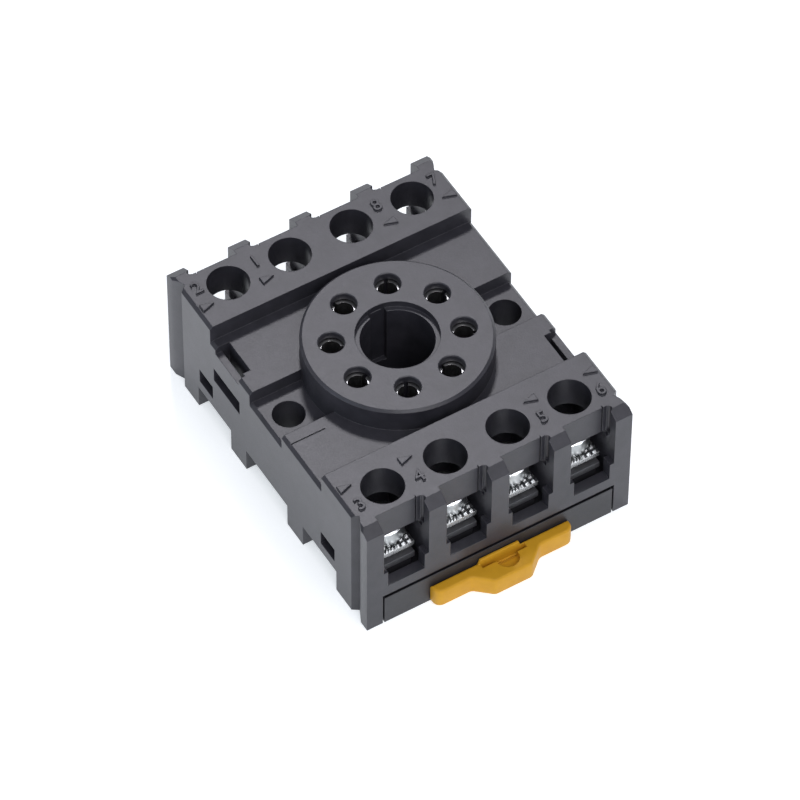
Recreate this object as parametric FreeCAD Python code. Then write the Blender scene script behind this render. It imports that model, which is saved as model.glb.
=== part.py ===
import FreeCAD, Part
import math
import os

os.makedirs("parts", exist_ok=True)

# Octal relay socket with eight screw terminals, for rail or screw mounting.
# All sizes are in millimetres. The origin lies on the axis of the pin circle,
# in the plane where the socket sits on its rail. +Z points out of the socket
# face, and -Y points at the end that has the rail clip.

# Moulded body, outside
body_width = 40.0
platform_length = 28.4
block_length = 11.35
foot_drop = 3.9
block_height = 16.2
platform_height = 13.4
floor_height = 11.3
floor_width = 8.2
rim_chamfer = 0.45
end_slope_length = 1.55
end_slope_drop = 1.0
end_plate = 1.55
groove_width = 2.4
groove_slope = 0.6
groove_depth = 0.88
rail_channel = 35.6
mid_foot_near = 5.3
mid_foot_far = 9.3

# Moulded body, inside
side_wall = 3.1
roof_wall = 1.8
end_wall = 1.55
cross_wall = 1.3
lower_cavity_width = 34.9
lower_cavity_top = 3.65

# Round plug face
disc_diameter = 25.6
disc_height = 17.17
disc_edge = 0.35
boss_bottom = 5.3
pin_circle = 17.45
pin_hole = 3.4
pin_hole_depth = 1.1
key_bore = 9.9
key_mouth = 11.2
key_mouth_depth = 1.0
key_slot_width = 2.5
key_slot_reach = 5.5
key_tube_wall = 0.95

# Screw holes that fix the socket to a panel
mount_pitch = 33.0
mount_hole = 4.4
mount_boss = 7.8

# Slots for the relay's hold-down clip
clip_slot_setback = 1.3
clip_slot_length = 5.5
clip_slot_wall = 1.0
clip_slot_width = 1.1
clip_slot_bottom = 6.1
clip_window_overlap = 0.6
clip_window_height = 2.5
clip_rim_drop = 1.2
clip_rim_lead = 0.5

# Terminals
terminal_pitch = 9.387
terminal_setback = 5.38
access_hole = 5.75
bay_width = 6.74
bay_recess = 2.25
bay_roof = 11.2
bay_lip_width = 5.5
bay_lip_height = 6.55
corner_relief = 0.5

# Clamp plates and terminal screws, shown slackened
strip_thickness = 1.0
strip_width = 3.2
strip_pad_width = 5.3
strip_level = 3.75
strip_gap = 0.1
collar_width = 4.6
collar_depth = 1.15
clamp_width = 5.2
clamp_thickness = 1.0
clamp_lift = 1.45
clamp_end_gap = 0.5
clamp_groove_pitch = 0.86
clamp_groove_depth = 0.28
screw_diameter = 3.5
screw_length = 4.8
screw_head = 6.0
screw_head_height = 2.1
recess_span = 3.4
recess_width = 0.75
recess_depth = 1.25
thread_clearance = 0.08
clamp_clearance = 0.25
head_gap = 0.05

# Pin contacts, slit tubes that stand on the inner ends of the strips
contact_outer = 3.5
contact_inner = 2.6
contact_clearance = 0.2
contact_floor = 0.8
contact_slit = 0.55
contact_slit_length = 7.5

# Base cover that closes the body from below
cover_thickness = 1.7
cover_width = 35.0
cover_side_gap = 0.12
cover_top_gap = 0.15
seat_relief = 0.3
seat_relief_width = 1.5
cover_rib = 1.2
post_inset = 0.5
barrier_play = 0.5
collar_play = 0.3
collar_depth_play = 0.35
cell_wall = 1.35
cell_roof = 2.3
snap_setback = 1.45
snap_width = 2.5
snap_reach = 1.3
snap_height = 1.5
snap_lip = 0.6
snap_window_play = 0.5
hook_width = 5.0
hook_offset = 9.5
hook_reach = 1.4
hook_height = 1.9
hook_lift = 0.6
hook_edge = 0.3

# Rail clip
handle_height = 3.1
handle_lift = 0.2
handle_gap = 0.08
handle_width = 21.0
tab_depth = 1.65
nose_depth = 3.75
nose_width = 5.6
shoulder_width = 10.4
tab_radius = 1.1
handle_rib_width = 9.0
handle_rib_depth = 0.55
handle_rib_height = 1.1
slot_length = 6.8
slot_width = 0.7
slot_setback = 0.65
pocket_width = 3.5
pocket_length = 2.2
pocket_depth = 1.2
tongue_width = 13.2
tongue_wing = 1.4
tongue_thickness = 1.8
wing_thickness = 0.9
tongue_play = 0.15
tongue_lead = 0.9
leg_slot = 0.6
leg_length = 6.0
barb_reach = 0.5
barb_slope = 0.7
barb_length = 1.4
clip_travel = 2.5
rail_overlap = 1.4

# How far pieces of one moulding run into each other, and cuts run past a face
root = 0.5
past = 1.0

# Levels and half sizes worked out from the sizes above
half_width = body_width / 2
half_platform = platform_length / 2
half_length = half_platform + block_length
half_channel = rail_channel / 2
terminal_row = half_platform + terminal_setback
half_cover = cover_width / 2
feet = -foot_drop
chamber_end = half_platform + cross_wall
recess_back = half_length - bay_recess
strip_top = strip_level + strip_thickness
clamp_bottom = strip_top + clamp_lift
clamp_top = clamp_bottom + clamp_thickness
clamp_front = recess_back - strip_gap
clamp_back = chamber_end + clamp_end_gap
body_floor = cover_thickness + cover_top_gap
pin_radius = pin_circle / 2
tube_radius = key_bore / 2 + key_tube_wall
contact_bottom = strip_top
contact_top = disc_height - pin_hole_depth - contact_clearance


def V(x, y, z):
    return FreeCAD.Vector(x, y, z)


def block(x0, x1, y0, y1, z0, z1):
    """A box between two opposite corners."""
    return Part.makeBox(x1 - x0, y1 - y0, z1 - z0, V(x0, y0, z0))


def centred(cx, cy, width, length, z0, z1):
    """A box that is centred on (cx, cy) in plan."""
    return block(cx - width / 2, cx + width / 2, cy - length / 2, cy + length / 2, z0, z1)


def rod(x, y, diameter, z0, z1):
    """A round bar along Z."""
    return Part.makeCylinder(diameter / 2, z1 - z0, V(x, y, z0))


def chamfered_rod(diameter, z0, z1, chamfer):
    """A round bar on the Z axis with a chamfer round its upper end."""
    tip = Part.makeCone(diameter / 2, diameter / 2 - chamfer, chamfer, V(0, 0, z1 - chamfer))
    return rod(0, 0, diameter, z0, z1 - chamfer).fuse(tip)


def plan_prism(points, z0, z1):
    """An outline in plan, raised from z0 to z1."""
    corners = [V(x, y, z0) for x, y in points]
    return Part.Face(Part.makePolygon(corners + corners[:1])).extrude(V(0, 0, z1 - z0))


def octagon_rod(x, y, across_flats, z0, z1):
    """An eight-sided bar along Z."""
    reach = across_flats / 2 / math.cos(math.pi / 8)
    angles = [math.pi / 8 + index * math.pi / 4 for index in range(8)]
    return plan_prism([(x + reach * math.cos(a), y + reach * math.sin(a)) for a in angles], z0, z1)


def side_prism(points, x0, x1):
    """An outline of (y, z) points, stretched from x0 to x1."""
    corners = [V(x0, y, z) for y, z in points]
    return Part.Face(Part.makePolygon(corners + corners[:1])).extrude(V(x1 - x0, 0, 0))


def end_prism(points, y0, y1):
    """An outline of (x, z) points, stretched from y0 to y1."""
    corners = [V(x, y0, z) for x, z in points]
    return Part.Face(Part.makePolygon(corners + corners[:1])).extrude(V(0, y1 - y0, 0))


def band(points, width, z0, z1):
    """A flat strip of even width along a bent line, with mitred corners."""
    normals = []
    for (x0, y0), (x1, y1) in zip(points, points[1:]):
        run = math.hypot(x1 - x0, y1 - y0)
        normals.append(((y0 - y1) / run, (x1 - x0) / run))
    left = []
    right = []
    for index, (x, y) in enumerate(points):
        before = normals[max(index - 1, 0)]
        after = normals[min(index, len(normals) - 1)]
        mitre = width / 2 / (1.0 + before[0] * after[0] + before[1] * after[1])
        shift_x = (before[0] + after[0]) * mitre
        shift_y = (before[1] + after[1]) * mitre
        left.append((x + shift_x, y + shift_y))
        right.append((x - shift_x, y - shift_y))
    return plan_prism(left + right[::-1], z0, z1)


def joined(shapes):
    """One solid out of several that touch or overlap."""
    return shapes[0].multiFuse(shapes[1:]).removeSplitter()


def mirrored_x(shape):
    return shape.mirror(V(0, 0, 0), V(1, 0, 0))


def mirrored_y(shape):
    return shape.mirror(V(0, 0, 0), V(0, 1, 0))


def turned_half(shape):
    """A copy turned by half a turn about the origin."""
    copy = shape.copy()
    copy.rotate(V(0, 0, 0), V(0, 0, 1), 180)
    return copy


def four_corners(shape):
    """The shape and its copies in the other three quarters."""
    pair = [shape, mirrored_x(shape)]
    return pair + [mirrored_y(item) for item in pair]


def export(name, shape):
    shape.exportStep(os.path.join("parts", name + ".step"))


def pin_place(number):
    """Pin 1 lies left of the key slot, and the others follow anticlockwise."""
    angle = math.radians(112.5 + 45.0 * (number - 1))
    return pin_radius * math.cos(angle), pin_radius * math.sin(angle)


def terminal_place(number):
    """The terminal of a pin: the pins near the key slot's line use the inner ones."""
    x, y = pin_place(number)
    offset = 0.5 if abs(y) > abs(x) else 1.5
    return math.copysign(offset * terminal_pitch, x), math.copysign(terminal_row, y)


pins = range(1, 9)


# Moulded body

def body_outline():
    """The stepped profile along the body, with sloping end tops."""
    slope_y = half_length - end_slope_length
    right = [
        (floor_width / 2, floor_height),
        (floor_width / 2, platform_height),
        (half_platform, platform_height),
        (half_platform, block_height),
        (slope_y, block_height),
        (half_length, block_height - end_slope_drop),
        (half_length, feet),
    ]
    left = [(-y, z) for y, z in reversed(right)]
    return side_prism(left + right, -half_width, half_width)


def rim_cuts():
    """Chamfers along the upper side edges, one for each level."""
    levels = [
        (0.0, floor_width / 2, floor_height),
        (floor_width / 2, half_platform, platform_height),
        (half_platform, half_length, block_height),
    ]
    cuts = []
    for y0, y1, z in levels:
        wedge = [
            (half_width - rim_chamfer, z),
            (half_width + rim_chamfer, z + 2 * rim_chamfer),
            (half_width + rim_chamfer, z - 2 * rim_chamfer),
        ]
        cuts += four_corners(end_prism(wedge, y0, y1))
    return cuts


def corner_grooves():
    """Upright V grooves that part the end plates from the side walls."""
    groove_far = half_length - end_plate
    groove_near = groove_far - groove_width
    notch = [
        (half_width + past, groove_near),
        (half_width, groove_near),
        (half_width - groove_depth, groove_near + groove_slope),
        (half_width, groove_far),
        (half_width + past, groove_far),
    ]
    return four_corners(plan_prism(notch, feet - past, block_height + past))


def foot_cuts():
    """What is cut away below the seat level, so that the feet stand down."""
    inner = (-half_width - past, half_width + past)
    low = feet - past
    middle = block(*inner, -mid_foot_near, mid_foot_near, low, 0.0)
    between = block(*inner, mid_foot_far, half_channel, low, 0.0)
    return [middle, between, mirrored_y(between)]


def lower_cavity():
    """The room that the base cover fills and closes."""
    cover_room = centred(0, 0, cover_width + 2 * cover_side_gap, 2 * (half_length + past), feet - past, body_floor)
    strip_room = centred(0, 0, lower_cavity_width, 2 * (half_length - end_wall), body_floor, lower_cavity_top)
    return [cover_room, strip_room]


def middle_cavity():
    """The hollow below the plug face, without the bosses that stand in it."""
    width = body_width - 2 * side_wall
    floor_roof = floor_height - roof_wall
    step = floor_width / 2 + roof_wall
    hollow = centred(0, 0, width, platform_length - 2 * roof_wall, lower_cavity_top - past, floor_roof)
    side = block(-width / 2, width / 2, step, half_platform - roof_wall, floor_roof - past,
                 platform_height - roof_wall)
    room = joined([hollow, side, mirrored_y(side)])
    low = body_floor
    bosses = [rod(0, 0, disc_diameter, boss_bottom, disc_height)]
    bosses += [rod(side * mount_pitch / 2, 0, mount_boss, low, floor_height) for side in (-1, 1)]
    return room.cut(joined(bosses + [rod(0, 0, 2 * tube_radius, low, floor_height)]))


def hanging_tubes():
    """The tubes of the key bore and the mounting holes, down to the base cover."""
    tubes = [rod(0, 0, 2 * tube_radius, body_floor, boss_bottom + root)]
    tubes += [rod(side * mount_pitch / 2, 0, mount_boss, body_floor, floor_height - root) for side in (-1, 1)]
    keep = centred(0, 0, body_width - 2 * root, platform_length, feet, disc_height)
    return [tube.common(keep) for tube in tubes]


def terminal_cuts(x, y):
    """Access hole, clamp chamber and open-topped wire bay of one terminal."""
    way = math.copysign(1.0, y)

    def across(width, near, far, z0, z1):
        y0, y1 = sorted((way * near, way * far))
        return block(x - width / 2, x + width / 2, y0, y1, z0, z1)

    outside = half_length + past
    top = block_height + past
    relief_x = x - way * (bay_width / 2 - corner_relief / 2)
    return [
        rod(x, y, access_hole, bay_roof - past, top),
        across(bay_width, chamber_end, half_length - end_wall, lower_cavity_top - past, bay_roof),
        across(bay_width, recess_back, outside, bay_lip_height, top),
        across(bay_lip_width, recess_back, outside, lower_cavity_top, bay_lip_height + past),
        rod(relief_x, way * recess_back, 2 * corner_relief, bay_roof - past, top),
        across(strip_width + 4 * strip_gap, half_platform - roof_wall - past, chamber_end + past,
               lower_cavity_top - past, strip_top + strip_gap),
    ]


def plug_face_cuts():
    """Pin holes, key bore and key slot."""
    cuts = []
    for number in pins:
        x, y = pin_place(number)
        cuts.append(rod(x, y, pin_hole, contact_top, disc_height + past))
        cuts.append(octagon_rod(x, y, contact_outer + 2 * contact_clearance, boss_bottom - past,
                                contact_top + contact_clearance))
    cuts.append(rod(0, 0, key_bore, body_floor - past, disc_height + past))
    cuts.append(rod(0, 0, key_mouth, disc_height - key_mouth_depth, disc_height + past))
    slot_half = key_slot_width / 2
    cuts.append(block(-slot_half, slot_half, 0, key_slot_reach, boss_bottom + past, disc_height + past))
    return cuts


def hold_down_cuts():
    """Clip slot, its lowered rim and the window below it, on two opposite sides."""
    outer = half_width - clip_slot_wall
    inner = outer - clip_slot_width
    far = half_platform - clip_slot_setback
    near = far - clip_slot_length
    slot = block(inner, outer, near, far, clip_slot_bottom, platform_height + past)
    rim = block(inner, half_width + past, near - clip_rim_lead, far, platform_height - clip_rim_drop,
                platform_height + past)
    rim = rim.cut(block(inner - past, outer, near - past, near, feet, platform_height + 2 * past))
    window = block(inner, half_width + past, near - clip_window_overlap, far + clip_window_overlap,
                   clip_slot_bottom, clip_slot_bottom + clip_window_height)
    left = [mirrored_x(shape) for shape in (slot, rim, window)]
    return left + [turned_half(shape) for shape in left]


def snap_windows():
    """Windows in the side walls that catch the base cover's snap noses."""
    reach = snap_width / 2 + snap_window_play
    middle = half_platform + snap_setback
    window = block(lower_cavity_width / 2 - past, half_width + past, middle - reach, middle + reach,
                   cover_thickness, cover_thickness + snap_height + 2 * snap_window_play)
    return four_corners(window)


def housing():
    disc = chamfered_rod(disc_diameter, floor_height - root, disc_height, disc_edge)
    outside = body_outline().cut(Part.makeCompound(rim_cuts() + corner_grooves() + foot_cuts()))
    shell = outside.fuse(disc)
    shell = shell.cut(Part.makeCompound(lower_cavity()))
    shell = shell.cut(middle_cavity())
    shell = shell.multiFuse(hanging_tubes()).removeSplitter()
    for number in pins:
        for cut in terminal_cuts(*terminal_place(number)):
            shell = shell.cut(cut)
    for cut in plug_face_cuts() + hold_down_cuts() + snap_windows():
        shell = shell.cut(cut)
    for side in (-1, 1):
        shell = shell.cut(rod(side * mount_pitch / 2, 0, mount_hole, feet, disc_height))
    return shell.removeSplitter()


# Base cover

def cover_plate():
    """Floor plate with deep end blocks, between which the rail lies."""
    low = [
        (half_channel, feet),
        (half_length, feet),
        (half_length, cover_thickness),
    ]
    relief = half_channel - seat_relief_width
    channel = [
        (relief, 0.0),
        (relief, seat_relief),
        (half_channel, seat_relief),
    ]
    right = channel + low
    left = [(-y, z) for y, z in reversed(right)]
    return side_prism(left + right, -half_cover, half_cover)


def cover_cells(first, last, count):
    """Open cells in an end block, moulded from below."""
    pitch = (last - first - cell_wall) / count
    cuts = []
    for index in range(count):
        x0 = first + cell_wall + index * pitch
        cuts.append(block(x0, x0 + pitch - cell_wall, half_channel + cell_wall, half_length - cell_wall,
                          feet - past, cover_thickness - cell_roof))
    return cuts


def cover_ribs():
    """Posts that press the strips up, and walls that keep the strips apart."""
    ribs = []
    low = cover_thickness - root
    for number in pins:
        x, y = terminal_place(number)
        way = math.copysign(1.0, y)
        ribs.append(centred(x, way * (clamp_front - cover_rib / 2 - strip_gap), strip_pad_width - 2 * post_inset,
                            cover_rib, low, strip_level))
        ribs.append(centred(x, way * (chamber_end - cross_wall / 2), strip_width, cover_rib, low, strip_level))
    near = chamber_end + barrier_play
    far = half_length - end_wall - barrier_play
    for way in (-1, 1):
        for step in (-1, 0, 1):
            ribs.append(centred(step * terminal_pitch, way * (near + far) / 2, cover_rib, far - near,
                                low, lower_cavity_top - strip_gap))
    return ribs


def snap_noses():
    """Four wedge noses that catch in the body's side windows."""
    wall_x = lower_cavity_width / 2 - cover_side_gap
    top = cover_thickness + snap_height
    foot_x = wall_x - cover_rib
    shelf = body_floor + strip_gap / 2
    nose = [
        (foot_x, cover_thickness - root),
        (wall_x, cover_thickness - root),
        (wall_x, shelf),
        (wall_x + snap_reach, shelf),
        (wall_x + snap_reach, cover_thickness + snap_lip),
        (wall_x, top),
        (foot_x, top),
    ]
    middle = half_platform + snap_setback
    return four_corners(end_prism(nose, middle - snap_width / 2, middle + snap_width / 2))


def rail_hooks():
    """Fixed hooks that reach under the rail's lip at the far end."""
    bevel = hook_reach / 2
    low = feet + hook_lift
    top = low + hook_height
    tip = half_channel - hook_reach
    profile = [
        (half_channel + root, low),
        (tip + bevel, low),
        (tip, low + bevel),
        (tip, top - hook_edge),
        (tip + hook_edge, top),
        (half_channel + root, top),
    ]
    hook = side_prism(profile, hook_offset - hook_width / 2, hook_offset + hook_width / 2)
    return [hook, mirrored_x(hook)]


def clip_room():
    """The T-shaped way that the rail clip slides in, with room for its barbs."""
    play = tongue_play
    narrow = tongue_width / 2 + play
    wide = narrow + tongue_wing
    top = feet + handle_lift + tongue_thickness + play
    ledge = top - wing_thickness - 2 * play
    y0 = -half_length - past
    y1 = -half_channel + past
    upper = block(-wide, wide, y0, y1, ledge, top)
    lower = block(-narrow, narrow, y0, y1, feet - past, top)
    reach = wide + barb_reach + play
    back = -half_channel - cell_wall
    barb_room = block(-reach, reach, back - clip_travel - barb_length - 2 * play, back, ledge, top)
    return [upper, lower, barb_room]


def base_cover():
    side_first = tongue_width / 2 + tongue_wing + barb_reach + 2 * tongue_play
    near_cells = [mirrored_y(cell) for cell in cover_cells(side_first, half_cover, 1)]
    cells = cover_cells(-half_cover, half_cover, 4) + near_cells + [mirrored_x(cell) for cell in near_cells]
    plate = cover_plate().multiFuse(cover_ribs() + snap_noses() + rail_hooks())
    plate = plate.cut(Part.makeCompound(cells + clip_room()))
    screw_tip = clamp_top + head_gap - screw_length - clamp_lift
    for number in pins:
        x, y = terminal_place(number)
        room = collar_width + 2 * collar_play
        plate = plate.cut(centred(x, y, room, room, screw_tip - collar_depth_play, strip_level))
    for side in (-1, 1):
        plate = plate.cut(rod(side * mount_pitch / 2, 0, mount_hole, feet, strip_level))
    return plate.removeSplitter()


# Rail clip

def handle_outline():
    """The pull handle in plan: two end tabs and a nose with slanted sides."""
    back = -half_length - handle_gap
    half = [
        (nose_width / 2, back - nose_depth),
        (shoulder_width / 2, back - tab_depth),
        (handle_width / 2, back - tab_depth),
        (handle_width / 2, back),
    ]
    return [(-x, y) for x, y in reversed(half)] + half


def rail_clip():
    low = feet + handle_lift
    top = low + handle_height
    back = -half_length - handle_gap
    handle = plan_prism(handle_outline(), low, top)
    corners = [edge for edge in handle.Edges
               if abs(edge.BoundBox.XMin) > (handle_width + shoulder_width) / 4
               and edge.BoundBox.ZLength > handle_height / 2 and edge.BoundBox.YMax < back - tab_depth / 2]
    handle = handle.makeFillet(tab_radius, corners)
    rib = centred(0, back - handle_rib_depth / 2, handle_rib_width, handle_rib_depth, top - root,
                  top + handle_rib_height)
    pocket_floor = top - pocket_depth
    slot_y = back - slot_setback
    slot = centred(0, slot_y, slot_length, slot_width, pocket_floor, top + past)
    bow_y = slot_y - slot_width / 2 - pocket_length + pocket_width / 2
    pocket = joined([
        rod(0, bow_y, pocket_width, pocket_floor, top + past),
        block(-pocket_width / 2, pocket_width / 2, bow_y, slot_y, pocket_floor, top + past),
    ])

    tip = -half_channel + rail_overlap
    tongue_top = low + tongue_thickness
    tongue = block(-tongue_width / 2, tongue_width / 2, back - root, tip, low, tongue_top)
    wing_half = tongue_width / 2 + tongue_wing
    barb_y = -half_channel - cell_wall - tongue_play
    wing = block(-wing_half, wing_half, back - root, barb_y, tongue_top - wing_thickness, tongue_top)
    lead = side_prism([(tip - tongue_lead, low), (tip, low), (tip, low + tongue_lead)], -tongue_width, tongue_width)
    barb = plan_prism([(wing_half - root, barb_y), (wing_half, barb_y), (wing_half + barb_reach, barb_y - barb_slope),
                       (wing_half + barb_reach, barb_y - barb_length), (wing_half - root, barb_y - barb_length)],
                      tongue_top - wing_thickness, tongue_top)
    leg = tongue_width / 2 - leg_slot
    leg_cut = block(leg, tongue_width / 2, barb_y - leg_length, barb_y, low - past, tongue_top + past)
    end_cut = block(leg, wing_half + past, barb_y, tip + past, low - past, tongue_top + past)
    solid = joined([handle, rib, tongue, wing, barb, mirrored_x(barb)])
    cuts = [slot, pocket, lead, leg_cut, mirrored_x(leg_cut), end_cut, mirrored_x(end_cut)]
    for cut in cuts:
        solid = solid.cut(cut)
    return solid.removeSplitter()


# Terminal pieces, modelled in place for one terminal and then set out

def terminal_screw(x, y):
    """Cheese head screw with a cross recess, its shank without the thread."""
    seat = clamp_top + head_gap
    top = seat + screw_head_height
    solid = rod(0, 0, screw_head, seat, top).fuse(rod(0, 0, screw_diameter, seat - screw_length, seat + root))
    for size in ((recess_span, recess_width), (recess_width, recess_span)):
        solid = solid.cut(centred(0, 0, *size, top - recess_depth, top + past))
    solid = solid.removeSplitter()
    solid.translate(V(x, y, 0))
    return solid


def clamp_plate(x, y):
    """Grooved clamp plate with a clearance hole for its screw."""
    way = math.copysign(1.0, y)
    length = clamp_front - clamp_back
    middle = way * (clamp_front + clamp_back) / 2
    plate = centred(x, middle, clamp_width, length, clamp_bottom, clamp_top)
    plate = plate.cut(rod(x, y, screw_diameter + 2 * clamp_clearance, clamp_bottom - past, clamp_top + past))
    depth = clamp_groove_depth
    grooves = int((clamp_front - terminal_row - screw_head / 4) / clamp_groove_pitch)
    for index in range(grooves):
        gy = way * (clamp_front - clamp_groove_pitch * (index + 0.5))
        profile = [(gy - depth, clamp_top), (gy, clamp_top - depth), (gy + depth, clamp_top)]
        plate = plate.cut(side_prism(profile, x - clamp_width, x + clamp_width))
    return plate


def terminal_strip(number):
    """Conductor from the clamp to the pin, with a tapped collar for the screw."""
    pin_x, pin_y = pin_place(number)
    x, y = terminal_place(number)
    way = math.copysign(1.0, y)
    y0, y1 = sorted((way * (chamber_end + 2 * strip_gap), way * clamp_front))
    pad = block(x - strip_pad_width / 2, x + strip_pad_width / 2, y0, y1, strip_level, strip_top)
    collar = centred(x, y, collar_width, collar_width, strip_level - collar_depth, strip_top)
    bend_y = way * (half_platform - roof_wall - strip_width / 2)
    run = math.hypot(x - pin_x, bend_y - pin_y)
    past_pin = contact_outer / 2 / run
    end_x = pin_x - (x - pin_x) * past_pin
    end_y = pin_y - (bend_y - pin_y) * past_pin
    route = [(end_x, end_y), (x, bend_y), (x, way * (chamber_end + past))]
    strip = joined([pad, collar, band(route, strip_width, strip_level, strip_top)])
    return strip.cut(rod(x, y, screw_diameter + 2 * thread_clearance, strip_level - 2 * past, strip_top + past))


def pin_contact(number):
    """Slit tube that grips a relay pin, standing on its strip."""
    x, y = pin_place(number)
    tube = rod(x, y, contact_outer, contact_bottom, contact_top)
    tube = tube.cut(rod(x, y, contact_inner, contact_bottom + contact_floor, contact_top + past))
    slit = centred(0, 0, 2 * contact_outer, contact_slit, contact_top - contact_slit_length, contact_top + past)
    slit.rotate(V(0, 0, 0), V(0, 0, 1), math.degrees(math.atan2(y, x)))
    slit.translate(V(x, y, 0))
    return tube.cut(slit)


export("housing", housing())
export("base_cover", base_cover())
export("rail_clip", rail_clip())
for number in pins:
    place = terminal_place(number)
    export("terminal_screw_%d" % number, terminal_screw(*place))
    export("clamp_plate_%d" % number, clamp_plate(*place))
    export("terminal_strip_%d" % number, terminal_strip(number))
    export("pin_contact_%d" % number, pin_contact(number))
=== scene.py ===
import math

import bpy
from mathutils import Matrix, Vector


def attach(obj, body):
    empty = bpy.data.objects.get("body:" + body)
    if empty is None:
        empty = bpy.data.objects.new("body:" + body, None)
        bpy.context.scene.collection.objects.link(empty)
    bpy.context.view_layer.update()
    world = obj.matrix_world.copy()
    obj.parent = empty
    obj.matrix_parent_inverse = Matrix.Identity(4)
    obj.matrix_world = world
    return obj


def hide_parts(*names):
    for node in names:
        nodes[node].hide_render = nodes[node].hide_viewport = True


# The visual model of an octal relay socket with eight screw terminals.
# Lengths below are millimetres in the frame of the CAD nodes, and mm() makes them metres.
MM = 0.001

# Levels and places that the pieces share with the CAD nodes
feet_level = -3.9
disc_top = 17.17
block_top = 16.2
platform_top = 13.4
half_width = 20.0
pin_radius = 17.45 / 2
pin_hole = 3.4
pin_count = 8
first_pin_angle = 112.5
terminal_pitch = 9.387
terminal_row = 19.58

# Places of the terminal columns, in terminal pitches from the middle
inner_column = 0.5
outer_column = 1.5

# How far a cutter reaches past a face or sinks into a piece, and how close two places count as one
past = 1.0
overlap = 0.02
tolerance = 0.02
merge_distance = 0.002
fine_merge = 0.001

# Angles in degrees above which an edge stays sharp, or is rounded
moulding_angle = 28.0
metal_angle = 35.0
corner_angle = 60.0

# Marks in the moulding
pin_hole_chamfer = 0.12
cone_rise = 0.2
mark_height = 0.34
mark_root = 0.1
mark_round = 0.05
digit_size = 2.7
digit_stroke = 0.035
digit_x = (9.3, 18.1)
digit_y = 20.75
triangle_x = (9.35, 18.4)
triangle_y = 17.45
triangle_length = 1.9
triangle_base = 1.25
line_width = 0.14
line_depth = 0.16
line_y = -5.87
line_end = -14.5

# Grooves in the sides of the wire bays
bay_half = 3.37
bay_back = 23.3
bay_roof = 11.2
groove_radius = 0.42
groove_offset = 0.5
groove_foot = 0.15
groove_rise = 0.85
old_groove = 0.6

# Base cover and the seam round its ends
cover_top = 1.7
cover_end = 25.55
cover_half = 17.5
seam_height = 0.5
seam_depth = 0.55
seam_side = 0.15
seam_lip = 0.12
seam_pit = 1.25

# Terminal screw
screw_seat = 7.25
head_radius = 2.88
head_height = 2.1
head_round = 0.5
head_rim = 0.001
recess_span = 3.4
recess_width = 0.75
recess_depth = 1.25
recess_taper = 0.72
recess_rise = 0.2
shank_length = 4.8
shank_sink = 0.2
tip_round = 0.3
thread_pitch = 0.6
thread_crest = 1.74
thread_root = 1.42
thread_sink = 0.06
thread_flank = 0.22
thread_land = 0.08
thread_start = 0.9
thread_end = 0.35
thread_steps = 28

# Clamp plate, from the middle of its screw
clamp_bottom = 6.2
clamp_top = 7.2
clamp_width = 5.2
clamp_front = 3.62
clamp_back = 3.58
clamp_hole = 4.0
clamp_round = 0.08
tail_overlap = 0.01
tooth_columns = 6
tooth_rows = 3
tooth_pitch = 0.86
tooth_depth = 0.22

# Rail clip handle
handle_low = -3.7
handle_top = -0.6
handle_back = -25.63
handle_half = 10.5
tab_depth = 1.65
shoulder_half = 5.2
nose_half = 2.8
nose_depth = 3.75
tab_round = 1.15
nose_round = 0.35
top_round = 0.38
low_round = 0.22
lip_half = 3.7
lip_shift = -0.2
lip_depth = 0.4
lip_height = 0.78
lip_slope = 0.75
lip_round = 0.12
slot_half = 3.4
slot_shift = 0.2
slot_front = -26.72
slot_depth = 1.6
pocket_radius = 1.6
pocket_shift = 0.5
pocket_y = -26.85
pocket_depth = 1.1
pocket_overlap = 0.1
root_half = 6.6
root_depth = 0.6
root_top = -1.9
root_overlap = 0.1
tongue_overlap = 0.05

# Materials: noise scales per metre, heights of the bump in metres, and how an edge is found and painted
# paler, as wear and as a painted edge highlight
plastic_cloud = 420.0
plastic_grain = 5200.0
plastic_height = 0.00004
metal_cloud = 700.0
metal_lines = 2500.0
metal_height = 0.00002
floor_cloud = 3.0
bevel_samples = 6
flat_dot = 0.985
sharp_dot = 0.8
tone_stops = (0.3, 0.7)
# The paler edge colour paints an edge highlight as well as wear
wear_and_sheen_range = (0.5, 1.5)
wear_and_sheen_share = 0.4
wear_and_sheen_gain = 1.2

# Studio
floor_size = 2.4
light_distance = 0.9
light_aim = 8.0


def mm(value):
    return value * MM


def place_mm(x, y, z):
    return Vector((mm(x), mm(y), mm(z)))


# Shared modelling steps

def clear_selection():
    if bpy.context.mode != "OBJECT":
        bpy.ops.object.mode_set(mode="OBJECT")
    bpy.ops.object.select_all(action="DESELECT")


def only(obj):
    """Selects one object and makes it active."""
    clear_selection()
    obj.select_set(True)
    bpy.context.view_layer.objects.active = obj


def named(name):
    """Names the new primitive, which is the active object."""
    obj = bpy.context.active_object
    obj.name = name
    obj.data.name = name
    return obj


def settle(obj):
    """Moves the object's place into its mesh, so that it sits at the origin."""
    only(obj)
    bpy.ops.object.transform_apply(location=True, rotation=True, scale=True)
    return obj


def box(x0, x1, y0, y1, z0, z1):
    """A block between these limits, as a cutter or as a part to join."""
    clear_selection()
    centre = place_mm((x0 + x1) / 2, (y0 + y1) / 2, (z0 + z1) / 2)
    bpy.ops.mesh.primitive_cube_add(size=1.0, location=centre)
    block = named("block")
    block.scale = place_mm(x1 - x0, y1 - y0, z1 - z0)
    return settle(block)


def rod(radius, x, y, z0, z1, sides=48):
    """An upright cylinder, as a cutter or as a part to join."""
    clear_selection()
    bpy.ops.mesh.primitive_cylinder_add(vertices=sides, radius=mm(radius), depth=mm(z1 - z0),
                                        location=place_mm(x, y, (z0 + z1) / 2))
    return settle(named("rod"))


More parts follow.
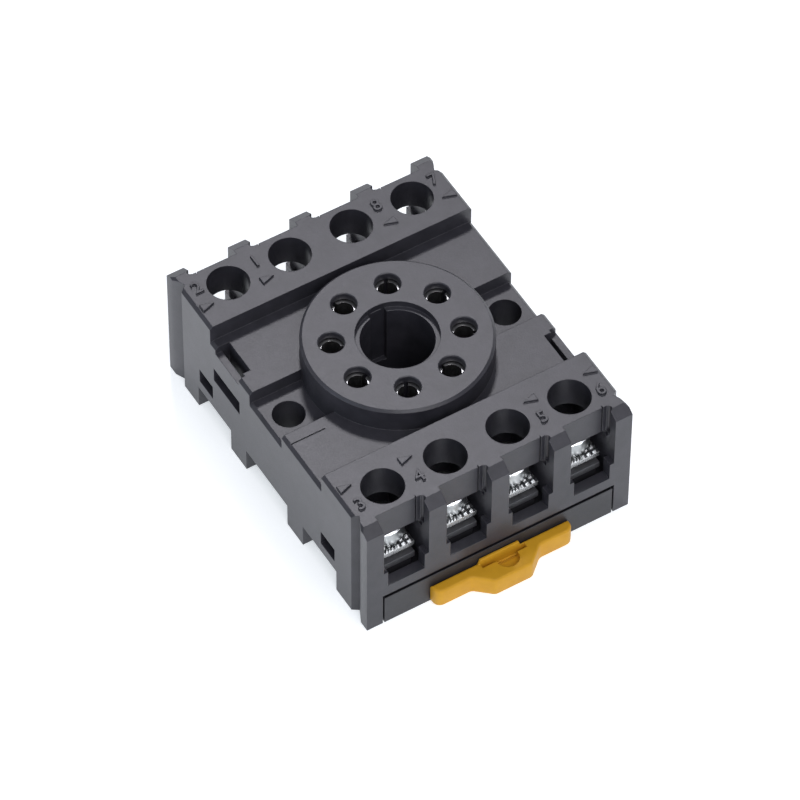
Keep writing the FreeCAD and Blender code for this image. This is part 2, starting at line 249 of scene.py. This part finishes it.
def edit_all(obj, operator, **settings):
    """Runs one edit mode operator on the whole mesh."""
    only(obj)
    bpy.ops.object.mode_set(mode="EDIT")
    bpy.ops.mesh.select_all(action="SELECT")
    operator(**settings)
    bpy.ops.object.mode_set(mode="OBJECT")


def apply_modifier(obj, kind, **settings):
    only(obj)
    modifier = obj.modifiers.new(kind.title(), kind)
    for key, value in settings.items():
        setattr(modifier, key, value)
    bpy.ops.object.modifier_apply(modifier=modifier.name)


def select_edges(obj, test):
    """Goes into edit mode with the edges selected whose two ends pass the test, given in millimetres."""
    only(obj)
    bpy.ops.object.mode_set(mode="EDIT")
    bpy.ops.mesh.select_mode(type="EDGE")
    bpy.ops.mesh.select_all(action="DESELECT")
    bpy.ops.object.mode_set(mode="OBJECT")
    points = obj.data.vertices
    for edge in obj.data.edges:
        first, second = (points[index].co / MM for index in edge.vertices)
        edge.select = test(first, second)
    bpy.ops.object.mode_set(mode="EDIT")


def round_edges(obj, size, test, segments):
    select_edges(obj, test)
    bpy.ops.mesh.bevel(offset=mm(size), segments=segments, affect="EDGES")
    bpy.ops.object.mode_set(mode="OBJECT")


def round_corners(obj, size, segments):
    """Rounds every edge that is sharper than the corner angle."""
    apply_modifier(obj, "BEVEL", width=mm(size), segments=segments, limit_method="ANGLE",
                   angle_limit=math.radians(corner_angle))


def near(value, target):
    return abs(value - target) < tolerance


def combine(obj, other, operation):
    """Adds another object or cuts it out, and deletes it."""
    apply_modifier(obj, "BOOLEAN", operation=operation, solver="EXACT", object=other)
    bpy.data.objects.remove(other, do_unlink=True)


def join(parts, name):
    clear_selection()
    for part in parts:
        part.select_set(True)
    bpy.context.view_layer.objects.active = parts[0]
    bpy.ops.object.join()
    return named(name)


def copy_of(obj, name, x, y, turn=0.0):
    """A copy with its own mesh, turned about Z and set down at (x, y)."""
    copy = obj.copy()
    copy.data = obj.data.copy()
    bpy.context.scene.collection.objects.link(copy)
    copy.data.transform(Matrix.Translation(place_mm(x, y, 0)) @ Matrix.Rotation(turn, 4, "Z"))
    copy.name = name
    copy.data.name = name
    return copy


def merged_copy(node, name):
    """A copy of a CAD node's mesh, with its loose triangles joined."""
    copy = node.copy()
    copy.data = node.data.copy()
    copy.data.materials.clear()
    copy.parent = None
    copy.matrix_world = Matrix.Identity(4)
    for key in list(copy.keys()):
        del copy[key]
    bpy.context.scene.collection.objects.link(copy)
    copy.name = name
    copy.data.name = name
    edit_all(copy, bpy.ops.mesh.remove_doubles, threshold=mm(merge_distance))
    edit_all(copy, bpy.ops.mesh.normals_make_consistent, inside=False)
    if copy.data.has_custom_normals:
        bpy.ops.mesh.customdata_custom_splitnormals_clear()
    return copy


def smooth(obj, angle):
    only(obj)
    bpy.ops.object.shade_smooth_by_angle(angle=math.radians(angle))


def pin_place(number):
    angle = math.radians(first_pin_angle + 360.0 / pin_count * (number - 1))
    return pin_radius * math.cos(angle), pin_radius * math.sin(angle)


def terminal_place(number):
    x, y = pin_place(number)
    offset = inner_column if abs(y) > abs(x) else outer_column
    return math.copysign(offset * terminal_pitch, x), math.copysign(terminal_row, y)


# Materials, each built from nodes on object coordinates

class Shade:
    """A small helper that adds nodes to one material and links them."""

    def __init__(self, name):
        self.material = bpy.data.materials.new(name)
        self.material.use_nodes = True
        self.tree = self.material.node_tree
        self.shader = self.tree.nodes["Principled BSDF"]
        self.coords = self.node("ShaderNodeTexCoord")

    def node(self, kind, **settings):
        made = self.tree.nodes.new(kind)
        for key, value in settings.items():
            setattr(made, key, value)
        return made

    def link(self, source, target):
        self.tree.links.new(source, target)

    def noise(self, scale, detail=3.0, roughness=0.5, stretch=None):
        texture = self.node("ShaderNodeTexNoise")
        texture.inputs["Scale"].default_value = scale
        texture.inputs["Detail"].default_value = detail
        texture.inputs["Roughness"].default_value = roughness
        if stretch is None:
            self.link(self.coords.outputs["Object"], texture.inputs["Vector"])
        else:
            mapping = self.node("ShaderNodeMapping")
            mapping.inputs["Scale"].default_value = stretch
            self.link(self.coords.outputs["Object"], mapping.inputs["Vector"])
            self.link(mapping.outputs["Vector"], texture.inputs["Vector"])
        return texture.outputs["Fac"]

    def tone(self, value, dark, light):
        """A colour between two, mottled along a value from 0 to 1."""
        ramp = self.node("ShaderNodeValToRGB")
        for element, position, colour in zip(ramp.color_ramp.elements, tone_stops, (dark, light)):
            element.position = position
            element.color = (*colour, 1.0)
        self.link(value, ramp.inputs["Fac"])
        return ramp.outputs["Color"]

    def spread(self, value, low, high):
        """A value from 0 to 1 mapped to a range."""
        spread = self.node("ShaderNodeMapRange")
        spread.inputs["To Min"].default_value = low
        spread.inputs["To Max"].default_value = high
        self.link(value, spread.inputs["Value"])
        return spread.outputs["Result"]

    def edges(self, radius):
        """1 on the edges of the mesh and 0 on its faces, and the rounded normal."""
        bevel = self.node("ShaderNodeBevel", samples=bevel_samples)
        bevel.inputs["Radius"].default_value = radius
        geometry = self.node("ShaderNodeNewGeometry")
        dot = self.node("ShaderNodeVectorMath", operation="DOT_PRODUCT")
        self.link(bevel.outputs["Normal"], dot.inputs[0])
        self.link(geometry.outputs["Normal"], dot.inputs[1])
        edge = self.node("ShaderNodeMapRange")
        edge.inputs["From Min"].default_value = flat_dot
        edge.inputs["From Max"].default_value = sharp_dot
        self.link(dot.outputs["Value"], edge.inputs["Value"])
        return edge.outputs["Result"], bevel.outputs["Normal"]

    def multiply(self, value):
        """A product of a value and a second one, whose socket is given back with it."""
        product = self.node("ShaderNodeMath", operation="MULTIPLY")
        self.link(value, product.inputs[0])
        return product.outputs["Value"], product.inputs[1]

    def wear(self, factor, colour, wear_and_sheen_colour):
        """The base colour, blended with a paler colour on the edges, as wear and as a painted edge highlight.
        """
        mix = self.node("ShaderNodeMix", data_type="RGBA")
        self.link(factor, mix.inputs["Factor"])
        self.link(colour, mix.inputs["A"])
        mix.inputs["B"].default_value = (*wear_and_sheen_colour, 1.0)
        self.link(mix.outputs["Result"], self.shader.inputs["Base Color"])

    def surface(self, texture, roughness, bump, height, normal):
        """Roughness and bump from one texture, on the rounded normal."""
        self.link(self.spread(texture, *roughness), self.shader.inputs["Roughness"])
        node = self.node("ShaderNodeBump")
        node.inputs["Strength"].default_value = bump
        node.inputs["Distance"].default_value = height
        self.link(texture, node.inputs["Height"])
        self.link(normal, node.inputs["Normal"])
        self.link(node.outputs["Normal"], self.shader.inputs["Normal"])


def moulded_plastic(name, dark, light, worn_and_sheen, wear_and_sheen_part, roughness, bump, bevel, specular=0.5):
    """Fine-grained plastic whose edges catch the light on a rounded normal, and are painted a little paler,
    as rubbing and as a painted edge highlight.
    """
    shade = Shade(name)
    cloud = shade.noise(plastic_cloud, detail=4.0, roughness=0.6)
    grain = shade.noise(plastic_grain, detail=2.0, roughness=0.6)
    edge, rounded = shade.edges(bevel)
    # The edges get a paler colour: some rubbing, and a painted edge highlight.
    factor, part = shade.multiply(edge)
    shade.link(shade.spread(cloud, *(wear_and_sheen_part * share for share in wear_and_sheen_range)), part)
    shade.wear(factor, shade.tone(cloud, dark, light), worn_and_sheen)
    shade.surface(grain, roughness, bump, plastic_height, rounded)
    shade.shader.inputs["Specular IOR Level"].default_value = specular
    return shade.material


def plated_metal(name, dark, light, roughness, bump, bevel, stretch):
    """Plated sheet or turned metal with fine drawn lines, a mottled coat, and edges painted brighter, as wear
    and as a painted edge glint.
    """
    shade = Shade(name)
    cloud = shade.noise(metal_cloud, detail=4.0, roughness=0.6)
    lines = shade.noise(metal_lines, detail=3.0, roughness=0.55, stretch=stretch)
    edge, rounded = shade.edges(bevel)
    # The edges get a brighter colour: some wear, and a painted edge glint.
    factor, part = shade.multiply(edge)
    part.default_value = wear_and_sheen_share
    worn_and_sheen = tuple(min(1.0, channel * wear_and_sheen_gain) for channel in light)
    shade.wear(factor, shade.tone(cloud, dark, light), worn_and_sheen)
    shade.surface(lines, roughness, bump, metal_height, rounded)
    shade.shader.inputs["Metallic"].default_value = 1.0
    return shade.material


def use_material(obj, material):
    """Gives every slot of the object the one material."""
    if not obj.data.materials:
        obj.data.materials.append(material)
    for index in range(len(obj.data.materials)):
        obj.data.materials[index] = material


# Marks in the moulding and the cutter for its pin holes

def set_on_block(mark, x, y):
    """Stands a mark on the top of the terminal blocks, with its root sunk in."""
    mark.location = place_mm(x, y, block_top + (mark_height - mark_root) / 2)
    return settle(mark)


def raised_digit(number, x, y):
    clear_selection()
    bpy.ops.object.text_add(location=(0, 0, 0))
    text = bpy.context.active_object
    text.data.body = str(number)
    text.data.size = mm(digit_size)
    text.data.align_x = "CENTER"
    text.data.align_y = "CENTER"
    text.data.extrude = mm((mark_height + mark_root) / 2)
    text.data.offset = mm(digit_stroke)
    text.data.resolution_u = 6
    bpy.ops.object.convert(target="MESH")
    mark = named("raised_digit")
    edit_all(mark, bpy.ops.mesh.remove_doubles, threshold=mm(fine_merge))
    return set_on_block(mark, x, y)


def raised_triangle(x, y, way):
    """A raised triangle that points at the screw hole beside it."""
    half_height = (mark_height + mark_root) / 2
    mark = rod(1.0, 0, 0, -half_height, half_height, sides=3)
    for vertex in mark.data.vertices:
        tip = vertex.co.y > 0
        side = 1.0 if vertex.co.x > 0 else -1.0
        vertex.co.x = way * mm(triangle_length / 2) * (1.0 if tip else -1.0)
        vertex.co.y = 0.0 if tip else side * way * -mm(triangle_base / 2)
    round_edges(mark, mark_round, lambda a, b: a.z > 0 and b.z > 0, segments=1)
    return set_on_block(mark, x, y)


def chamfer_cutter(number):
    """A cone that chamfers the mouth of a pin hole."""
    x, y = pin_place(number)
    clear_selection()
    bpy.ops.mesh.primitive_cone_add(
        vertices=64,
        radius1=mm(pin_hole / 2 - overlap),
        radius2=mm(pin_hole / 2 + pin_hole_chamfer + cone_rise),
        depth=mm(pin_hole_chamfer + cone_rise + overlap),
        location=place_mm(x, y, disc_top + (cone_rise - pin_hole_chamfer - overlap) / 2),
    )
    return settle(named("chamfer_cutter"))


# Pieces

def regroove(body):
    """Fills the round corner reliefs of the bays and puts a shallow groove in the side wall instead."""
    fills = []
    cuts = []
    for number in range(1, pin_count + 1):
        x, y = terminal_place(number)
        way = math.copysign(1.0, y)
        side = x - way * bay_half
        inner = side + way * old_groove
        outer = side - way * old_groove / 2
        back = way * bay_back
        front = back - way * old_groove
        behind = back + way * old_groove
        for x_ends, y_ends in (((inner, side), (front, back)), ((outer, side), (front, behind))):
            fills.append(box(*sorted(x_ends), *sorted(y_ends), bay_roof, block_top))
        cuts.append(rod(groove_radius, side, way * (bay_back + groove_offset), bay_roof + groove_foot,
                        block_top + groove_rise, sides=24))
    for fill in fills:
        combine(body, fill, "UNION")
    for cut in cuts:
        combine(body, cut, "DIFFERENCE")


def make_housing(nodes):
    """The moulded body with its raised marks and chamfered pin holes."""
    body = merged_copy(nodes["housing"], "housing_moulding")
    regroove(body)
    cutters = [chamfer_cutter(number) for number in range(1, pin_count + 1)]
    cutters.append(box(-half_width - past, line_end, line_y - line_width / 2, line_y + line_width / 2,
                       platform_top - line_depth, platform_top + past))
    for cutter in cutters:
        combine(body, cutter, "DIFFERENCE")
    marks = []
    for number in range(1, pin_count + 1):
        x, y = terminal_place(number)
        column = 0 if abs(x) < terminal_pitch else 1
        marks.append(raised_digit(number, math.copysign(digit_x[column], x), math.copysign(digit_y, y)))
        marks.append(raised_triangle(math.copysign(triangle_x[column], x), math.copysign(triangle_y, y),
                                     math.copysign(1.0, -x)))
    body = join([body] + marks, "housing_moulding")
    smooth(body, moulding_angle)
    return body


def make_cover(nodes):
    """The base cover with an open seam where its ends meet the body."""
    cover = merged_copy(nodes["base_cover"], "base_cover_moulding")
    high = cover_top + past
    pit_half = cover_half - seam_side - seam_lip
    for side in (-1.0, 1.0):
        back = side * (cover_end - seam_depth)
        end = sorted((back, side * (cover_end + past)))
        pit = sorted((back, side * (cover_end - seam_lip)))
        combine(cover, box(-half_width, half_width, *end, cover_top - seam_height, high), "DIFFERENCE")
        for flank in (-1.0, 1.0):
            edge = sorted((flank * (cover_half - seam_side), flank * (cover_half + past)))
            combine(cover, box(*edge, *end, feet_level - past, high), "DIFFERENCE")
        combine(cover, box(-pit_half, pit_half, *pit, cover_top - seam_pit, high), "DIFFERENCE")
    smooth(cover, moulding_angle)
    return cover


def make_lip(low):
    """The sloped lip that stands on the back of the clip's handle."""
    lip_top = handle_top + lip_height
    lip_back = handle_back - overlap
    lip = box(lip_shift - lip_half, lip_shift + lip_half, lip_back - lip_depth, lip_back, low, lip_top)
    for vertex in lip.data.vertices:
        if vertex.co.z > mm(handle_top):
            vertex.co.x -= math.copysign(mm(lip_slope), vertex.co.x - mm(lip_shift))
    round_edges(lip, lip_round, lambda a, b: near(a.z, lip_top) or near(b.z, lip_top), segments=3)
    return lip


def make_handle():
    """The pull handle of the rail clip, with its raised lip, slot and thumb pocket."""
    tab_front = handle_back - tab_depth
    nose_front = handle_back - nose_depth
    outline = [
        (-handle_half, handle_back),
        (-handle_half, tab_front),
        (-shoulder_half, tab_front),
        (-nose_half, nose_front),
        (nose_half, nose_front),
        (shoulder_half, tab_front),
        (handle_half, tab_front),
        (handle_half, handle_back),
    ]
    clear_selection()
    bpy.ops.mesh.primitive_circle_add(vertices=len(outline), radius=mm(1.0), fill_type="NGON")
    handle = settle(named("clip_handle"))
    for vertex, (x, y) in zip(handle.data.vertices, outline):
        vertex.co = place_mm(x, y, handle_low)
    edit_all(handle, bpy.ops.mesh.extrude_region_move,
             TRANSFORM_OT_translate={"value": (0, 0, mm(handle_top - handle_low))})
    edit_all(handle, bpy.ops.mesh.normals_make_consistent, inside=False)

    def upright(a, b):
        return near(a.x, b.x) and near(a.y, b.y) and not near(a.z, b.z)

    round_edges(handle, tab_round,
                lambda a, b: upright(a, b) and near(abs(a.x), handle_half) and near(a.y, tab_front),
                segments=8)
    round_edges(handle, nose_round, lambda a, b: upright(a, b) and near(a.y, nose_front), segments=6)
    round_edges(handle, nose_round, lambda a, b: upright(a, b) and near(abs(a.x), shoulder_half), segments=6)
    round_edges(handle, top_round, lambda a, b: near(a.z, handle_top) and near(b.z, handle_top), segments=5)
    round_edges(handle, low_round, lambda a, b: near(a.z, handle_low) and near(b.z, handle_low), segments=3)
    slot_low = handle_top - slot_depth
    lip = make_lip(slot_low)
    slot = box(slot_shift - slot_half, slot_shift + slot_half, slot_front, handle_back - lip_depth, slot_low,
               handle_top + past)
    combine(handle, slot, "DIFFERENCE")
    pocket = rod(pocket_radius, pocket_shift, pocket_y, handle_top - pocket_depth,
                 handle_top - pocket_depth + 2 * past)
    for vertex in pocket.data.vertices:
        vertex.co.y = min(vertex.co.y, mm(slot_front + pocket_overlap))
    combine(handle, pocket, "DIFFERENCE")
    root = box(-root_half, root_half, handle_back - root_depth, handle_back + root_overlap,
               handle_low, root_top)
    return join([handle, lip, root], "clip_handle")


def make_clip(nodes):
    """The rail clip: a rounded handle on the tongue of the CAD node."""
    tongue = merged_copy(nodes["rail_clip"], "clip_tongue")
    edit_all(tongue, bpy.ops.mesh.bisect, plane_co=place_mm(0, handle_back + tongue_overlap, 0),
             plane_no=(0, 1, 0), use_fill=True, clear_inner=True, threshold=mm(fine_merge))
    clip = join([make_handle(), tongue], "rail_clip_moulding")
    smooth(clip, metal_angle)
    return clip


def make_clamp():
    """A clamp plate with rows of pyramid teeth at its front, centred on its screw."""
    zone = tooth_rows * tooth_pitch
    thickness = clamp_top - clamp_bottom
    clear_selection()
    bpy.ops.mesh.primitive_grid_add(x_subdivisions=2 * tooth_columns, y_subdivisions=2 * tooth_rows, size=1.0)
    teeth = named("clamp_teeth")
    teeth.scale = (mm(clamp_width), mm(zone), 1.0)
    teeth.location = place_mm(0, zone / 2 - clamp_front, clamp_top)
    settle(teeth)
    for vertex in teeth.data.vertices:
        column = round((vertex.co.x / MM + clamp_width / 2) / (clamp_width / (2 * tooth_columns)))
        row = round((vertex.co.y / MM + clamp_front) / (tooth_pitch / 2))
        if column % 2 == 0 or row % 2 == 0:
            vertex.co.z -= mm(tooth_depth)
    edit_all(teeth, bpy.ops.mesh.extrude_region_move,
             TRANSFORM_OT_translate={"value": (0, 0, -mm(2 * thickness))})
    for vertex in teeth.data.vertices:
        vertex.co.z = max(vertex.co.z, mm(clamp_bottom))
    edit_all(teeth, bpy.ops.mesh.normals_make_consistent, inside=False)
    tail = box(-clamp_width / 2, clamp_width / 2, zone - clamp_front - tail_overlap, clamp_back,
               clamp_bottom, clamp_top)
    round_edges(tail, clamp_round,
                lambda a, b: near(a.z, b.z) and near(a.y, clamp_back) and near(b.y, clamp_back), segments=2)
    for part in (teeth, tail):
        combine(part, rod(clamp_hole / 2, 0, 0, clamp_bottom - past, clamp_top + past), "DIFFERENCE")
    return join([teeth, tail], "clamp_master")


def make_head():
    """The rounded head of a terminal screw, with its tapered cross recess."""
    head = rod(head_radius, 0, 0, screw_seat, screw_seat + head_height, sides=64)
    bpy.ops.object.mode_set(mode="EDIT")
    bpy.ops.mesh.select_mode(type="FACE")
    bpy.ops.mesh.select_all(action="DESELECT")
    bpy.ops.object.mode_set(mode="OBJECT")
    for face in head.data.polygons:
        face.select = face.center.z > mm(screw_seat + head_height - overlap)
    bpy.ops.object.mode_set(mode="EDIT")
    bpy.ops.mesh.inset(thickness=mm(head_rim))
    bpy.ops.object.mode_set(mode="OBJECT")
    round_corners(head, head_round, segments=5)
    for vertex in head.data.vertices:
        reach = math.hypot(vertex.co.x, vertex.co.y)
        if vertex.co.z < mm(screw_seat + head_round):
            if mm(head_radius - head_round - head_rim) < reach < mm(head_radius - head_rim):
                vertex.co.z = mm(screw_seat)
    low = screw_seat + head_height - recess_depth
    high = screw_seat + head_height + recess_rise
    for turn in (0.0, math.pi / 2):
        blade = box(-recess_span / 2, recess_span / 2, -recess_width / 2, recess_width / 2, low, high)
        for vertex in blade.data.vertices:
            if vertex.co.z < mm((low + high) / 2):
                vertex.co.x *= recess_taper
                vertex.co.y *= recess_taper
        blade.data.transform(Matrix.Rotation(turn, 4, "Z"))
        combine(head, blade, "DIFFERENCE")
    return head


def make_thread():
    """A closed ridge that winds round the screw's core."""
    inner = thread_root - thread_sink
    bottom = screw_seat - shank_length + thread_end
    upper_flank = thread_flank + thread_land
    points = [
        (inner, 0.0),
        (thread_crest, thread_flank),
        (thread_crest, upper_flank),
        (inner, upper_flank + thread_flank),
    ]
    profile = bpy.data.meshes.new("thread_profile")
    profile.from_pydata([place_mm(r, 0, bottom + z) for r, z in points], [(0, 1), (1, 2), (2, 3), (3, 0)], [])
    thread = bpy.data.objects.new("thread", profile)
    bpy.context.scene.collection.objects.link(thread)
    turns = int((shank_length - thread_start - thread_end) / thread_pitch)
    apply_modifier(thread, "SCREW", screw_offset=mm(thread_pitch), iterations=turns, steps=thread_steps,
                   render_steps=thread_steps, use_merge_vertices=False, use_normal_calculate=True)
    edit_all(thread, bpy.ops.mesh.fill_holes, sides=len(points))
    edit_all(thread, bpy.ops.mesh.normals_make_consistent, inside=False)
    return thread


def make_screw():
    """A pan head screw with a cross recess and its rolled thread, on the Z axis."""
    head = make_head()
    core = rod(thread_root, 0, 0, screw_seat - shank_length, screw_seat + shank_sink)
    round_corners(core, tip_round, segments=2)
    screw = join([head, core, make_thread()], "screw_master")
    smooth(screw, metal_angle)
    return screw


# Load the frame

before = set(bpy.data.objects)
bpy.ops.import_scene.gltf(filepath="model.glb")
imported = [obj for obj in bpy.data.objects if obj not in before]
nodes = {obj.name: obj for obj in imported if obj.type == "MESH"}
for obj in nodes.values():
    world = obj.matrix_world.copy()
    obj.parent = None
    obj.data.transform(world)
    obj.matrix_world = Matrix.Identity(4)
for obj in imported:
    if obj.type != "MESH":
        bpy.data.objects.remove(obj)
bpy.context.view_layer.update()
clear_selection()

# Each material's edge colour is paler than its own tone: wear, and a painted edge highlight.
body_plastic = moulded_plastic(
    "body_plastic_grain", dark=(0.023, 0.023, 0.029), light=(0.037, 0.036, 0.045), worn_and_sheen=(0.10, 0.10, 0.11),
    wear_and_sheen_part=0.5, roughness=(0.32, 0.44), bump=0.25, bevel=0.00012)
clip_plastic = moulded_plastic(
    "clip_plastic_grain", dark=(0.57, 0.29, 0.015), light=(0.65, 0.34, 0.02), worn_and_sheen=(0.84, 0.50, 0.08),
    wear_and_sheen_part=0.35, roughness=(0.42, 0.54), bump=0.16, bevel=0.00012, specular=0.22)
# The cover's plastic is painted a little darker than the body's, as shade on the band below the seam; its
# rougher finish is its own.
cover_plastic_painted_shade = moulded_plastic(
    "cover_plastic_grain_painted_shade", dark=(0.020, 0.020, 0.024), light=(0.030, 0.030, 0.035), worn_and_sheen=(0.08, 0.08, 0.09),
    wear_and_sheen_part=0.5, roughness=(0.40, 0.52), bump=0.25, bevel=0.00013)
screw_steel = plated_metal(
    "screw_zinc", dark=(0.40, 0.42, 0.43), light=(0.66, 0.68, 0.68), roughness=(0.22, 0.40), bump=0.7,
    bevel=0.00008, stretch=(1.0, 1.0, 3.0))
clamp_steel = plated_metal(
    "clamp_zinc", dark=(0.78, 0.80, 0.80), light=(0.92, 0.93, 0.93), roughness=(0.18, 0.36), bump=0.25,
    bevel=0.00006, stretch=(6.0, 1.0, 1.0))
strip_metal = plated_metal(
    "strip_plate", dark=(0.28, 0.28, 0.30), light=(0.38, 0.38, 0.40), roughness=(0.44, 0.60), bump=0.25,
    bevel=0.00004, stretch=(1.0, 8.0, 1.0))
contact_metal = plated_metal(
    "contact_tin", dark=(0.36, 0.36, 0.36), light=(0.50, 0.50, 0.50), roughness=(0.26, 0.44), bump=0.2,
    bevel=0.00005, stretch=(1.0, 1.0, 7.0))

housing = make_housing(nodes)
cover = make_cover(nodes)
use_material(cover, cover_plastic_painted_shade)
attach(cover, "socket")
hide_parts("base_cover")
use_material(housing, body_plastic)
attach(housing, "socket")
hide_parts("housing")

clip = make_clip(nodes)
use_material(clip, clip_plastic)
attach(clip, "clip")
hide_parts("rail_clip")

screw_master = make_screw()
clamp_master = make_clamp()
for number in range(1, pin_count + 1):
    x, y = terminal_place(number)
    screw = copy_of(screw_master, "threaded_screw_%d" % number, x, y)
    use_material(screw, screw_steel)
    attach(screw, "screw_%d" % number)
    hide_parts("terminal_screw_%d" % number)
    clamp = copy_of(clamp_master, "toothed_clamp_%d" % number, x, y, 0.0 if y < 0 else math.pi)
    use_material(clamp, clamp_steel)
    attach(clamp, "clamp_%d" % number)
    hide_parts("clamp_plate_%d" % number)
    use_material(nodes["terminal_strip_%d" % number], strip_metal)
    use_material(nodes["pin_contact_%d" % number], contact_metal)
bpy.data.objects.remove(screw_master, do_unlink=True)
bpy.data.objects.remove(clamp_master, do_unlink=True)

# Floor, light and camera

clear_selection()
bpy.ops.mesh.primitive_plane_add(size=floor_size, location=place_mm(0, 0, feet_level))
floor = settle(named("studio_floor"))
floor_shade = Shade("studio_floor_white")
floor_tone = floor_shade.tone(floor_shade.noise(floor_cloud), (0.86, 0.86, 0.86), (0.88, 0.88, 0.88))
floor_shade.link(floor_tone, floor_shade.shader.inputs["Base Color"])
floor_shade.shader.inputs["Roughness"].default_value = 0.9
floor_shade.shader.inputs["Specular IOR Level"].default_value = 0.0
floor_shade.shader.inputs["Emission Color"].default_value = (0.92, 0.97, 1.0, 1.0)
floor_shade.shader.inputs["Emission Strength"].default_value = 0.53
use_material(floor, floor_shade.material)


def area_light(name, direction, size, energy, colour):
    """A square soft light that points at the middle of the socket."""
    data = bpy.data.lights.new(name, "AREA")
    data.shape = "SQUARE"
    data.size = size
    data.energy = energy
    data.color = colour
    light = bpy.data.objects.new(name, data)
    bpy.context.scene.collection.objects.link(light)
    way = Vector(direction).normalized()
    light.location = place_mm(0, 0, light_aim) + way * light_distance
    light.rotation_euler = way.to_track_quat("Z", "Y").to_euler()


area_light("key_light", (0.24, 0.465, 0.852), size=0.11, energy=2.3, colour=(0.955, 0.94, 1.0))
area_light("left_light", (-0.95, -0.1, 0.30), size=0.6, energy=1.05, colour=(0.66, 0.82, 1.0))
area_light("front_light", (-0.1, -0.6, 0.79), size=0.6, energy=4.0, colour=(0.97, 0.96, 1.0))

world = bpy.data.worlds.new("studio_world")
world.use_nodes = True
background = world.node_tree.nodes["Background"]
background.inputs["Color"].default_value = (0.92, 0.94, 1.0, 1.0)
background.inputs["Strength"].default_value = 0.38
bpy.context.scene.world = world

camera_data = bpy.data.cameras.new("studio_camera")
camera_data.sensor_width = 36.0
camera_data.lens = 282.68
camera_data.clip_start = 0.05
camera_data.clip_end = 20.0
camera = bpy.data.objects.new("studio_camera", camera_data)
bpy.context.scene.collection.objects.link(camera)
camera_right = Vector((0.85550452, -0.51778376, 0.00346248))
camera_up = Vector((0.4044401, 0.67237892, 0.61994741))
camera_back = Vector((-0.3233268, -0.52896745, 0.78463573))
pose = Matrix((camera_right, camera_up, camera_back)).transposed().to_4x4()
pose.translation = Vector((-0.267003, -0.437490, 0.652164))
camera.matrix_world = pose
bpy.context.scene.camera = camera
bpy.context.scene.view_settings.view_transform = "Standard"
